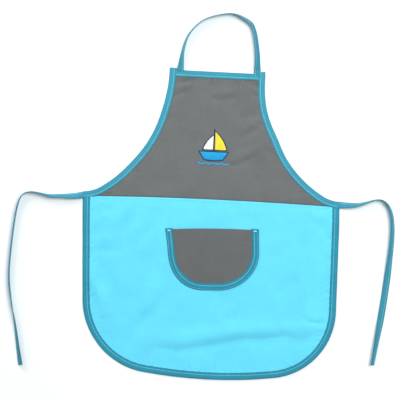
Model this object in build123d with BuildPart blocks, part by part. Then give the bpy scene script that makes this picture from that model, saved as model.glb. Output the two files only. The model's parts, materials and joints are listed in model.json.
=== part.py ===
"""Child's cotton bib apron, lying flat with its front up. Millimetres.

+Y runs up the apron towards the neck, +X to the right as it lies, +Z out of its front.
The origin is under the middle of the apron's body: the neck loop and the ties aren't counted.
"""

import os
from math import cos, radians, sin, tan

from build123d import *

# Pattern of the two cloth pieces
skirt_width = 462.0       # across the waist, outside the bindings
skirt_length = 321.0      # waist seam to bottom edge
side_lean = 1.1           # degrees each side leans in towards the bottom
corner_radius = 128.0     # rounded bottom corners
bottom_rise = 30.0        # how far the bottom curve climbs from the middle to the sides
bib_height = 232.0        # waist seam to top edge
bib_top_width = 172.0     # outside the arm bindings
arm_radius = 250.0        # long hollow curve under each arm
arm_turn = 57.0           # degrees that the long curve turns before the short one

# Cloth, tape and thread
cloth = 0.5               # thickness of the woven cotton
tape_width = 12.0         # folded bias tape, edge to edge
tape_leg = 0.6            # one folded side of the tape, two layers
strap_thick = 1.2         # the same tape stitched shut, as a tie or the neck loop
tape_stub = 4.0           # cut ends of the arm bindings above the top edge
seam_width = 10.0         # cloth turned in behind the waist seam
thread_width = 0.7
thread_height = 0.25
stitch_inset = 2.6        # stitch row from the tape's open edge
edge_row_inset = 2.0      # pocket's outer stitch row from the tape's folded edge

# Pocket
pocket_width = 164.0
pocket_depth = 109.0
pocket_corner = 70.0      # its rounded lower corners
pocket_drop = 53.0        # waist seam down to the pocket's mouth
pocket_crown = 8.0        # how far its middle stands off the skirt
pocket_hem_width = 10.0
bartack_length = 9.0
bartack_width = 2.0
bartack_height = 0.4

# Embroidered boat
boat_rise = 96.0          # waist seam up to the motif's middle
boat_width = 56.0
boat_height = 66.0
pile = 0.4                # height of the filled stitches
outline_width = 1.3
backing_margin = 5.0      # backing patch beyond the motif
backing_thick = 0.3

# Clearances between bodies that swing
fold_gap = 0.2            # each side of the waist fold
root_gap = 0.4            # between a strap's root and the edge it hangs from

# Worked out from the sizes above
body_length = skirt_length + bib_height + tape_stub
waist_y = skirt_length - body_length / 2
bottom_y = waist_y - skirt_length
top_y = waist_y + bib_height
stub_y = top_y + tape_stub
half_skirt = skirt_width / 2
half_top = bib_top_width / 2
tape_thick = 2 * tape_leg + cloth
cloth_z = tape_leg                              # underside of the bib and skirt
face_z = cloth_z + cloth                        # their front
stitch_line = tape_width - stitch_inset         # stitch row from the tape's folded edge
mouth_y = waist_y - pocket_drop
half_pocket = pocket_width / 2
corner_x = half_pocket - pocket_corner          # middle of the pocket's right lower corner
corner_y = mouth_y - pocket_depth + pocket_corner
pocket_z = face_z + tape_leg                    # underside of the pocket's flat rim
crown_z = pocket_z + pocket_crown               # underside of its raised middle
dome_reach = pocket_corner - tape_width - 2.0   # sloping part, from the middle of a corner
crown_radius = (dome_reach**2 + pocket_crown**2) / (2 * pocket_crown)
hem_reach = dome_reach - tape_width / 2         # mouth hem, from the middle of a corner
far = 60.0                                      # outlines run this far past the lines that cut them

os.makedirs("parts", exist_ok=True)


def skirt_face(inset=0.0):
    """Skirt up to the fold line, with its sides and bottom moved in by inset."""
    lean = tan(radians(side_lean))
    low_y = bottom_y + bottom_rise
    low_x = half_skirt - (waist_y - low_y) * lean
    high_x = half_skirt + far * lean
    with BuildSketch() as face:
        with BuildLine():
            Polyline((low_x, low_y), (high_x, waist_y + far), (-high_x, waist_y + far), (-low_x, low_y))
            ThreePointArc((low_x, low_y), (0, bottom_y), (-low_x, low_y))
        make_face()
        fillet(face.vertices().group_by(Axis.Y)[0], corner_radius)
        if inset:
            offset(amount=-inset, kind=Kind.INTERSECTION)
        with Locations((0, waist_y - fold_gap)):
            below_fold = (Align.CENTER, Align.MAX)
            Rectangle(2 * skirt_width, 2 * skirt_length, align=below_fold, mode=Mode.INTERSECT)
    return face.sketch


def bib_face(inset=0.0, top=stub_y):
    """Bib from the fold line up to top, with its arm curves moved in by inset."""
    turn = radians(arm_turn)
    shoulder = half_skirt - half_top
    short_radius = (shoulder - arm_radius * (1 - cos(turn))) / cos(turn)
    drop = arm_radius * sin(turn) + short_radius * (1 - sin(turn))
    start_y = waist_y + tape_width / 2 + drop
    with BuildSketch() as face:
        with BuildLine():
            Polyline((0, stub_y + far), (half_top, stub_y + far), (half_top, start_y))
            long_arc = JernArc((half_top, start_y), (0, -1), arm_radius, arm_turn)
            short_arc = JernArc(long_arc @ 1, long_arc % 1, short_radius, 90 - arm_turn)
            Polyline(short_arc @ 1, (half_skirt, waist_y - far), (0, waist_y - far))
            mirror(about=Plane.YZ)
        make_face()
        if inset:
            offset(amount=-inset, kind=Kind.INTERSECTION)
        height = top - waist_y - fold_gap
        with Locations((0, waist_y + fold_gap)):
            Rectangle(2 * skirt_width, height, align=(Align.CENTER, Align.MIN), mode=Mode.INTERSECT)
    return face.sketch


def arm_band(outer, inner, keep):
    """Strip along one arm curve, between two distances from the bib's edge."""
    with BuildSketch() as band:
        add(bib_face(outer))
        add(bib_face(inner), mode=Mode.SUBTRACT)
        split(bisect_by=Plane.YZ, keep=keep)
    return band.sketch


def pocket_face(inset=0.0):
    """Pocket with round lower corners, its sides and bottom moved in by inset."""
    with BuildSketch() as face:
        with Locations((0, mouth_y)):
            below_mouth = (Align.CENTER, Align.MAX)
            Rectangle(2 * (half_pocket - inset), pocket_depth - inset, align=below_mouth)
        fillet(face.vertices().group_by(Axis.Y)[0], pocket_corner - inset)
    return face.sketch


def dome_slope(radius, reach):
    """Section of the pocket's slope, one cloth thick, from its raised middle out to reach."""
    with BuildSketch() as section:
        with Locations((0, crown_z - crown_radius)):
            Circle(radius + cloth)
            Circle(radius, mode=Mode.SUBTRACT)
        with Locations((0, pocket_z)):
            Rectangle(reach, 2 * pocket_crown, align=Align.MIN, mode=Mode.INTERSECT)
    return section.sketch


def save(piece, name):
    """Labels a finished piece and writes it as its own node."""
    piece.label = name
    export_step(piece, f"parts/{name}.step")


# Skirt: panel, seam allowance behind its top, and the binding round its sides and bottom
with BuildPart() as skirt_panel:
    with BuildSketch(Plane.XY.offset(cloth_z)):
        add(skirt_face(tape_leg))
    extrude(amount=cloth)
save(skirt_panel.part, "skirt_panel")

with BuildPart() as waist_seam_allowance:
    with BuildSketch(Plane.XY.offset(cloth_z - cloth)):
        add(skirt_face(tape_width))
        with Locations((0, waist_y - fold_gap)):
            Rectangle(skirt_width, seam_width, align=(Align.CENTER, Align.MAX), mode=Mode.INTERSECT)
    extrude(amount=cloth)
save(waist_seam_allowance.part, "waist_seam_allowance")

with BuildPart() as waist_stitching:
    with BuildSketch(Plane.XY.offset(face_z)):
        add(skirt_face(tape_width))
        with Locations((0, waist_y - stitch_inset)):
            Rectangle(skirt_width, thread_width, mode=Mode.INTERSECT)
    extrude(amount=thread_height)
save(waist_stitching.part, "waist_stitching")

with BuildPart() as hem_binding:
    with BuildSketch():
        add(skirt_face())
        add(skirt_face(tape_width), mode=Mode.SUBTRACT)
    extrude(amount=tape_thick)
    with BuildSketch(Plane.XY.offset(cloth_z)):
        add(skirt_face(tape_leg))
    extrude(amount=cloth, mode=Mode.SUBTRACT)
save(hem_binding.part, "hem_binding")

with BuildPart() as hem_stitching:
    with BuildSketch(Plane.XY.offset(tape_thick)):
        add(skirt_face(stitch_line - thread_width / 2))
        add(skirt_face(stitch_line + thread_width / 2), mode=Mode.SUBTRACT)
    extrude(amount=thread_height)
save(hem_stitching.part, "hem_stitching")

# Bib: panel, top binding, and the two arm bindings that run down to the waist corners
with BuildPart() as bib_panel:
    with BuildSketch(Plane.XY.offset(cloth_z)):
        add(bib_face(tape_leg, top_y - tape_leg))
    extrude(amount=cloth)
save(bib_panel.part, "bib_panel")

with BuildPart() as top_binding:
    with BuildSketch():
        add(bib_face(tape_width, top_y))
        with Locations((0, top_y)):
            Rectangle(bib_top_width, tape_width, align=(Align.CENTER, Align.MAX), mode=Mode.INTERSECT)
    extrude(amount=tape_thick)
    with BuildSketch(Plane.XY.offset(cloth_z)):
        add(bib_face(tape_leg, top_y - tape_leg))
    extrude(amount=cloth, mode=Mode.SUBTRACT)
save(top_binding.part, "top_binding")

with BuildPart() as top_stitching:
    with BuildSketch(Plane.XY.offset(tape_thick)):
        add(bib_face(tape_width, top_y))
        with Locations((0, top_y - stitch_line)):
            Rectangle(bib_top_width, thread_width, mode=Mode.INTERSECT)
    extrude(amount=thread_height)
save(top_stitching.part, "top_stitching")

for side, keep in (("left", Keep.BOTTOM), ("right", Keep.TOP)):
    with BuildPart() as arm_binding:
        with BuildSketch():
            add(arm_band(0, tape_width, keep))
        extrude(amount=tape_thick)
        with BuildSketch(Plane.XY.offset(cloth_z)):
            add(bib_face(tape_leg, top_y - tape_leg))
        extrude(amount=cloth, mode=Mode.SUBTRACT)
    save(arm_binding.part, f"{side}_arm_binding")

    with BuildPart() as arm_stitching:
        with BuildSketch(Plane.XY.offset(tape_thick)):
            add(arm_band(stitch_line - thread_width / 2, stitch_line + thread_width / 2, keep))
        extrude(amount=thread_height)
    save(arm_stitching.part, f"{side}_arm_stitching")

# Pocket: a shallow dome with a flat rim, its turned-in mouth hem, and its binding
side_plane = Plane(origin=(corner_x, corner_y, 0), x_dir=(1, 0, 0), z_dir=(0, -1, 0))
down_plane = Plane(origin=(0, corner_y, 0), x_dir=(0, -1, 0), z_dir=(-1, 0, 0))
with BuildSketch() as pocket_section:
    add(dome_slope(crown_radius, dome_reach))
    with Locations((dome_reach - cloth, pocket_z)):
        Rectangle(pocket_corner - dome_reach + cloth - tape_leg, cloth, align=Align.MIN)

with BuildPart() as pocket_panel:
    with BuildSketch(side_plane):
        add(pocket_section.sketch)
    revolve(axis=Axis((corner_x, corner_y, 0), (0, 0, -1)), revolution_arc=90)
    with BuildSketch(side_plane):
        add(pocket_section.sketch)
    extrude(amount=corner_y - mouth_y)
    with BuildSketch(down_plane):
        add(pocket_section.sketch)
    extrude(amount=corner_x, both=True)
    with BuildSketch(Plane.XY.offset(crown_z)):
        with Locations((0, mouth_y)):
            Rectangle(2 * corner_x, mouth_y - corner_y, align=(Align.CENTER, Align.MAX))
    extrude(amount=cloth)
    mirror(about=Plane.YZ)
save(pocket_panel.part, "pocket_panel")

with BuildPart() as pocket_hem:
    with BuildSketch(Plane(origin=(corner_x, mouth_y, 0), x_dir=(1, 0, 0), z_dir=(0, -1, 0))):
        add(dome_slope(crown_radius - cloth, hem_reach))
    extrude(amount=pocket_hem_width)
    with BuildSketch(Plane.XY.offset(crown_z - cloth)):
        with Locations((0, mouth_y)):
            Rectangle(2 * corner_x, pocket_hem_width, align=(Align.CENTER, Align.MAX))
    extrude(amount=cloth)
    mirror(about=Plane.YZ)
save(pocket_hem.part, "pocket_hem")

with BuildPart() as pocket_binding:
    with BuildSketch(Plane.XY.offset(face_z)):
        add(pocket_face())
        add(pocket_face(tape_width), mode=Mode.SUBTRACT)
    extrude(amount=tape_thick)
    with BuildSketch(Plane.XY.offset(pocket_z)):
        add(pocket_face(tape_leg))
    extrude(amount=cloth, mode=Mode.SUBTRACT)
save(pocket_binding.part, "pocket_binding")

for name, inset in (("pocket_outer_stitching", edge_row_inset), ("pocket_inner_stitching", stitch_line)):
    with BuildPart() as pocket_row:
        with BuildSketch(Plane.XY.offset(face_z + tape_thick)):
            add(pocket_face(inset - thread_width / 2))
            add(pocket_face(inset + thread_width / 2), mode=Mode.SUBTRACT)
            with Locations((0, mouth_y - 2 * bartack_width)):
                Rectangle(pocket_width, pocket_depth, align=(Align.CENTER, Align.MAX), mode=Mode.INTERSECT)
        extrude(amount=thread_height)
    save(pocket_row.part, name)

with BuildPart() as pocket_bartacks:
    with BuildSketch(Plane.XY.offset(face_z + tape_thick)):
        tack_x = half_pocket - tape_width / 2
        with Locations((-tack_x, mouth_y - bartack_width), (tack_x, mouth_y - bartack_width)):
            Rectangle(bartack_length, bartack_width)
    extrude(amount=bartack_height)
save(pocket_bartacks.part, "pocket_bartacks")

# Embroidered boat, drawn about the motif's own middle
boat_plane = Plane(origin=(0, waist_y + boat_rise, face_z))
deck_y = -0.12 * boat_height
keel_y = -0.35 * boat_height
boom_y = deck_y + 3.0
mast_top = boat_height / 2
mast_width = 1.6
deck_half = boat_width / 2 - outline_width
keel_half = 0.3 * boat_width
sail_gap = 0.8 * mast_width                     # from the mast's middle to each sail
wave_count = 4
wave_width = 3.0


def hull_face():
    """Hull with a flat deck and a rounded bottom."""
    with BuildSketch() as face:
        with BuildLine():
            Polyline((-keel_half, keel_y), (-deck_half, deck_y), (deck_half, deck_y), (keel_half, keel_y))
            ThreePointArc((keel_half, keel_y), (0, keel_y - 1.5), (-keel_half, keel_y))
        make_face()
    return face.sketch


def sail_face(reach, top, belly):
    """Sail beside the mast: reach is signed, and belly rounds its free edge."""
    luff_x = sail_gap if reach > 0 else -sail_gap
    with BuildSketch() as face:
        with BuildLine():
            Polyline((luff_x, top), (luff_x, boom_y), (reach, boom_y))
            middle = ((luff_x + reach) / 2 + belly, (top + boom_y) / 2 + abs(belly))
            ThreePointArc((reach, boom_y), middle, (luff_x, top))
        make_face()
    return face.sketch


mainsail_face = sail_face(0.42 * boat_width, mast_top - 4.0, 2.5)
jib_face = sail_face(-0.36 * boat_width, mast_top - 11.0, -2.0)

with BuildPart() as hull_embroidery:
    with BuildSketch(boat_plane):
        add(hull_face())
        pitch = boat_width / wave_count
        with BuildLine() as crests:
            for i in range(wave_count):
                start = -boat_width / 2 + i * pitch
                low_y = -boat_height / 2 + wave_width / 2
                SagittaArc((start + pitch, low_y), (start, low_y), pitch / 5)
        trace(crests.edges(), line_width=wave_width)
    extrude(amount=pile)
save(hull_embroidery.part, "hull_embroidery")

for name, face in (("mainsail_embroidery", mainsail_face), ("jib_embroidery", jib_face)):
    with BuildPart() as sail_embroidery:
        with BuildSketch(boat_plane):
            add(face)
        extrude(amount=pile)
    save(sail_embroidery.part, name)

with BuildPart() as outline_embroidery:
    with BuildSketch(boat_plane):
        for face in (hull_face(), mainsail_face, jib_face):
            offset(face, amount=outline_width, mode=Mode.ADD)
        with Locations((0, mast_top)):
            Rectangle(mast_width, mast_top - deck_y, align=(Align.CENTER, Align.MAX))
        for face in (hull_face(), mainsail_face, jib_face):
            add(face, mode=Mode.SUBTRACT)
    extrude(amount=1.5 * pile)
save(outline_embroidery.part, "outline_embroidery")

with BuildPart() as embroidery_backing:
    with BuildSketch(Plane(origin=(0, waist_y + boat_rise, cloth_z - backing_thick))):
        RectangleRounded(boat_width + 2 * backing_margin, boat_height + 2 * backing_margin, backing_margin)
    extrude(amount=backing_thick)
save(embroidery_backing.part, "embroidery_backing")

# Straps: the neck loop and the two ties, lying as the limp tape falls.
# Each stands on its edge where it bends sharply, and is flat elsewhere.
loop_x = half_top - tape_width - 0.5 - tape_width / 2
loop_y = top_y + root_gap
tie_x = half_skirt + root_gap
loop_points = [
    (-loop_x, 0.0),
    (-loop_x + 0.5, 22.0),
    (-loop_x + 4.5, 48.0),
    (-loop_x + 17.5, 76.0),
    (-22.0, 96.0),
    (20.0, 106.0),
    (loop_x - 14.5, 93.0),
    (loop_x - 2.5, 64.0),
    (loop_x + 0.5, 31.0),
    (loop_x, 0.0),
]
left_tie_points = [
    (0.0, 0.0),
    (-18.0, 0.0),
    (-48.0, -4.5),
    (-74.0, -3.5),
    (-94.0, 0.0),
    (-110.0, -8.5),
    (-119.0, -27.5),
    (-123.0, -57.5),
    (-127.0, -103.5),
    (-128.0, -153.5),
    (-121.5, -201.5),
    (-112.5, -248.5),
    (-104.5, -280.5),
    (-98.5, -309.5),
]
right_tie_points = [
    (0.0, 0.0),
    (18.0, 0.0),
    (38.0, 5.5),
    (57.5, 14.0),
    (74.5, 12.0),
    (87.5, 0.5),
    (94.5, -18.5),
    (97.0, -49.5),
    (94.5, -97.5),
    (87.5, -147.5),
    (81.5, -196.5),
    (77.0, -243.5),
    (72.5, -281.5),
]
# Name, where the route's points are counted from, points, first and last upright corner
straps = (
    ("neck_loop", (0.0, loop_y), loop_points, 3, 5),
    ("left_tie", (-tie_x, waist_y), left_tie_points, 4, 9),
    ("right_tie", (tie_x, waist_y), right_tie_points, 3, 6),
)


def corner_radii(points):
    """Largest even arc at each corner of a strap's route."""
    radii = []
    for before, corner, after in zip(points, points[1:], points[2:]):
        run_in = Vector(corner) - Vector(before)
        run_out = Vector(after) - Vector(corner)
        half_turn = radians(run_in.get_angle(run_out)) / 2
        radii.append(0.45 * min(run_in.length, run_out.length) / tan(half_turn))
    return radii


for name, root, points, first, last in straps:
    radii = corner_radii(points)
    with BuildLine(Plane(origin=(*root, 0))) as route:
        FilletPolyline(*points, radius=radii)
    stretches = route.wire().order_edges()
    with BuildPart() as strap:
        with BuildSketch():
            trace(stretches[: 2 * first - 1], line_width=tape_width)
            trace(stretches[2 * last :], line_width=tape_width)
        extrude(amount=strap_thick)
        with BuildSketch():
            trace(stretches[2 * first - 1 : 2 * last], line_width=strap_thick)
        extrude(amount=tape_width)
    save(strap.part, name)
    length = route.wire().length
    ratio = strap.part.volume / (length * tape_width * strap_thick)
    print(name, "length", round(length, 1), "radii", [round(radius) for radius in radii])
    print(name, "volume over section times length", round(ratio, 4))
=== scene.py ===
"""Looks of a child's cotton bib apron that lies front up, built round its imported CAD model. Metres.

The cloth is laid out flat as the pattern, and surface() then puts every point where the soft cloth lies:
sheared, arched at the waist, and raised by its folds and puckers. Sheets, tapes and stitches all go
through it, so they stay together.
"""

import json
from math import asin, cos, pi, radians, sin, sqrt, tan

import bpy
import numpy as np
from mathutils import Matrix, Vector, kdtree


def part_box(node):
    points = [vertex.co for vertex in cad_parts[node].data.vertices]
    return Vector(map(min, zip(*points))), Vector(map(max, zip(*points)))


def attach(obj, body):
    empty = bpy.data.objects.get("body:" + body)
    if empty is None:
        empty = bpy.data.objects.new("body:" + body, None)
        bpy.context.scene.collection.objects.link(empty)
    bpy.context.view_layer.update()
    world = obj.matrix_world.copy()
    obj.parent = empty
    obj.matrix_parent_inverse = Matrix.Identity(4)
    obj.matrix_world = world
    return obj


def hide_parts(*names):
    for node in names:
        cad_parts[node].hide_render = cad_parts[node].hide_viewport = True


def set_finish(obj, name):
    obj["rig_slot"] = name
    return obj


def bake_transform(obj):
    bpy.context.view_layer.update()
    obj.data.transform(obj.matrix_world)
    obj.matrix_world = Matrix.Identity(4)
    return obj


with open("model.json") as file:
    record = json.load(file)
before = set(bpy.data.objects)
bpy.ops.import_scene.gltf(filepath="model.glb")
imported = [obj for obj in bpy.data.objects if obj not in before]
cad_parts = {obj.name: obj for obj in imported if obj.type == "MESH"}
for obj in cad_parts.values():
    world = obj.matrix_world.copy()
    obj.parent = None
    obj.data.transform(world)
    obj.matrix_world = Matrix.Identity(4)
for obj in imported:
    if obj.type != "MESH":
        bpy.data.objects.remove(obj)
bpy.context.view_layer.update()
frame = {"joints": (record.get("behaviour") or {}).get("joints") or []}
joints = {joint["name"]: joint for joint in frame["joints"]}

# Sizes and places from the frame
waist_y = joints["bib_fold"]["pos_m"][1]
hem_low, hem_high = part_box("hem_binding")
top_low, top_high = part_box("top_binding")
pocket_low, pocket_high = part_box("pocket_binding")
motif_low, motif_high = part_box("outline_embroidery")
backing_low, backing_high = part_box("embroidery_backing")
tie_exit_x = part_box("right_tie")[0].x
loop_exit_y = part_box("neck_loop")[0].y
stub_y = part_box("left_arm_binding")[1].y
cloth_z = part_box("skirt_panel")[0].z
face_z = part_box("skirt_panel")[1].z
half_skirt = hem_high.x
bottom_y = hem_low.y
top_y = top_high.y
tape_width = top_high.y - top_low.y
tape_thick = hem_high.z
half_top = top_high.x + tape_width
mouth_y = pocket_high.y
half_pocket = pocket_high.x
pocket_z = face_z + cloth_z

# Pattern curves, as in the CAD model
side_lean = radians(1.1)
corner_radius = 0.128
bottom_rise = 0.030
arm_radius = 0.250
arm_turn = radians(57)
stitch_line = 0.0080       # stitch row from a tape's folded edge
edge_row_line = 0.0020     # pocket's outer row
strap_thick = 0.0012
IN_FOLD = 0.0008           # cloth ends this far inside a tape's fold

# How the cloth lies
view_turn = radians(2.8)   # the apron lies turned a little to the right of straight
skirt_shear = 0.030        # sideways drift of the skirt for each metre below the waist
skirt_ease = 0.003         # how much wider than its pattern the skirt lies
arch_middle = 0.0022       # waist seam's rise in the middle
arch_left = -0.0028        # and at its ends
arch_right = -0.0008

# Where the bib is pulled sideways: place, reach and how far
BIB_DRIFT = (
    ((-0.094, 0.208), 0.040, -0.0014),
    ((0.090, 0.222), 0.030, -0.0010),
    ((0.110, 0.158), 0.028, 0.0030),
    ((-0.150, 0.105), 0.030, -0.0014),
)


# Camera first: straight down, through a long lens
FIELD = 0.720
CAMERA_HEIGHT = 2.4
camera_data = bpy.data.cameras.new("camera")
camera_data.sensor_width = 36.0
camera_data.lens = 36.0 * CAMERA_HEIGHT / FIELD
camera_data.clip_end = 20.0
camera = bpy.data.objects.new("camera", camera_data)
camera.location = (-0.0204, waist_y + 0.0004, CAMERA_HEIGHT)
camera.rotation_euler = (0.0, 0.0, view_turn)
bpy.context.scene.collection.objects.link(camera)
bpy.context.scene.camera = camera


# Materials

def shader_tree(name, colour, roughness, sheen=0.0):
    """A new material with its Principled shader, whose fixed values are set on its own sockets."""
    material = bpy.data.materials.new(name)
    material.use_nodes = True
    tree = material.node_tree
    shader = tree.nodes["Principled BSDF"]
    shader.inputs["Base Color"].default_value = (*colour, 1.0)
    shader.inputs["Roughness"].default_value = roughness
    shader.inputs["Sheen Weight"].default_value = sheen
    shader.inputs["Sheen Roughness"].default_value = 0.5
    shader.inputs["Specular IOR Level"].default_value = 0.25
    return material, tree, shader


def add_node(tree, kind, **values):
    """A new node, with its properties and input sockets set by name."""
    node = tree.nodes.new(kind)
    for key, value in values.items():
        if hasattr(node, key):
            setattr(node, key, value)
        else:
            node.inputs[key.replace("_", " ").title()].default_value = value
    return node


def place(tree, turn=0.0, stretch=(1.0, 1.0, 1.0)):
    """Coordinates in the apron's own frame, turned about Z and stretched."""
    coordinates = tree.nodes.new("ShaderNodeTexCoord")
    mapping = tree.nodes.new("ShaderNodeMapping")
    mapping.inputs["Rotation"].default_value = (0.0, 0.0, turn)
    mapping.inputs["Scale"].default_value = stretch
    tree.links.new(coordinates.outputs["Object"], mapping.inputs["Vector"])
    return mapping.outputs["Vector"]


def maths(tree, operation, *values):
    """A Math node on sockets or numbers."""
    node = tree.nodes.new("ShaderNodeMath")
    node.operation = operation
    for socket, value in zip(node.inputs, values):
        if isinstance(value, (int, float)):
            socket.default_value = value
        else:
            tree.links.new(value, socket)
    return node.outputs[0]


def noise_at(tree, vector, scale, detail=2.0):
    node = add_node(tree, "ShaderNodeTexNoise", scale=scale, detail=detail)
    tree.links.new(vector, node.inputs["Vector"])
    return node.outputs["Fac"]


def wave_at(tree, vector, direction, pitch):
    """Bands one pitch apart."""
    node = add_node(tree, "ShaderNodeTexWave", bands_direction=direction, scale=pi / (10 * pitch))
    tree.links.new(vector, node.inputs["Vector"])
    return node.outputs["Fac"]


def shade_between(tree, shader, factor, dark, light):
    """Drives the base colour between two colours."""
    ramp = tree.nodes.new("ShaderNodeValToRGB")
    ramp.color_ramp.elements[0].color = (*dark, 1.0)
    ramp.color_ramp.elements[1].color = (*light, 1.0)
    tree.links.new(factor, ramp.inputs["Fac"])
    tree.links.new(ramp.outputs["Color"], shader.inputs["Base Color"])
    return ramp


def bump_from(tree, shader, height, distance):
    bump = tree.nodes.new("ShaderNodeBump")
    bump.inputs["Strength"].default_value = 1.0
    bump.inputs["Distance"].default_value = distance
    tree.links.new(height, bump.inputs["Height"])
    tree.links.new(bump.outputs["Normal"], shader.inputs["Normal"])


def woven(name, colour, pitch, turn=0.0, slub=0.18, mottle=0.05, roughness=0.9, sheen=0.1, edges=0.0):
    """Plain-woven cotton: two sets of threads, uneven in thickness, and a slow mottling.

    Tapes get painted shade towards their folded edges, by as much as edges says.
    """
    material, tree, shader = shader_tree(name, colour, roughness, sheen)
    grid = place(tree, turn)
    over = wave_at(tree, grid, "X", pitch)
    under = wave_at(tree, grid, "Y", pitch)
    weave = maths(tree, "MULTIPLY", over, under)
    long_x = noise_at(tree, place(tree, turn, (0.08, 1.0, 1.0)), 520.0)
    long_y = noise_at(tree, place(tree, turn, (1.0, 0.08, 1.0)), 520.0)
    slow = noise_at(tree, place(tree), 28.0, 3.0)
    threads = maths(tree, "ADD", long_x, long_y)
    tone = maths(tree, "MULTIPLY_ADD", threads, slub, 0.5 - slub)
    mottled = maths(tree, "MULTIPLY_ADD", slow, mottle * 4, -mottle * 2)
    lit = maths(tree, "MULTIPLY_ADD", weave, 0.12, maths(tree, "ADD", tone, mottled))
    # Painted shade: the edge attribute darkens a tape towards its folded edges.
    if edges:
        edge = add_node(tree, "ShaderNodeAttribute", attribute_name="edge")
        lit = maths(tree, "MULTIPLY_ADD", edge.outputs["Fac"], -edges, lit)
    light = tuple(min(1.0, 1.39 * c) for c in colour)
    dark = tuple(1.94 * c - bright for c, bright in zip(colour, light))
    shade_between(tree, shader, lit, dark, light)
    bump_from(tree, shader, maths(tree, "MULTIPLY_ADD", threads, 0.5, weave), 0.00008)
    return material


def thread(name, colour, roughness=0.55):
    """Twisted thread: fine slanted plies."""
    material, tree, shader = shader_tree(name, colour, roughness, 0.1)
    plies = wave_at(tree, place(tree, radians(35)), "X", 0.0006)
    slow = noise_at(tree, place(tree), 180.0)
    factor = maths(tree, "MULTIPLY_ADD", plies, 0.4, slow)
    dark = tuple(0.72 * c for c in colour)
    light = tuple(min(1.0, 1.18 * c) for c in colour)
    shade_between(tree, shader, factor, dark, light)
    bump_from(tree, shader, plies, 0.00005)
    return material


def felted(name, colour):
    """Non-woven backing: short random fibres."""
    material, tree, shader = shader_tree(name, colour, 0.95)
    fibres = noise_at(tree, place(tree, 0.6, (0.3, 1.0, 1.0)), 1500.0, 4.0)
    shade_between(tree, shader, fibres, tuple(0.8 * c for c in colour), colour)
    bump_from(tree, shader, fibres, 0.0001)
    return material


def teal(name, colour):
    """The bias tape: cotton cut on the slant, with a slight gloss, and painted shade along its folded edges.
    """
    return woven(name, colour, 0.0007, radians(45), slub=0.12, mottle=0.08, roughness=0.75,
                 sheen=0.05, edges=0.42)


materials = {
    "grey_cotton": woven("grey_cotton", (0.142, 0.154, 0.156), 0.0008, mottle=0.07),
    "turquoise_cotton": woven("turquoise_cotton", (0.130, 0.684, 0.930), 0.0008, slub=0.10),
    "teal_tape": teal("teal_tape", (0.038, 0.303, 0.420)),
    "pale_thread": thread("pale_thread", (0.36, 0.74, 0.86)),
    "turquoise_thread": thread("turquoise_thread", (0.25, 0.78, 0.92)),
    "blue_floss": thread("blue_floss", (0.012, 0.36, 0.68), roughness=0.5),
    "yellow_floss": thread("yellow_floss", (0.86, 0.74, 0.05), roughness=0.4),
    "white_floss": thread("white_floss", (0.85, 0.85, 0.83), roughness=0.4),
    "navy_floss": thread("navy_floss", (0.012, 0.03, 0.10), roughness=0.4),
    "white_backing": felted("white_backing", (0.80, 0.80, 0.78)),
}

# Darker copies of the same finishes for some of the pieces: painted shade, for pieces that lie in less light
shaded_finishes = {
    "pocket": woven("grey_cotton_shaded_for_pocket", (0.123, 0.133, 0.137), 0.0008),
    "hem": teal("teal_tape_shaded_for_hem", (0.018, 0.268, 0.389)),
    "pocket_tape": teal("teal_tape_shaded_for_pocket", (0.014, 0.245, 0.360)),
    "strap": teal("teal_tape_shaded_for_straps", (0.036, 0.262, 0.370)),
}


# Folds and puckers. Places are where the cloth lies.

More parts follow.
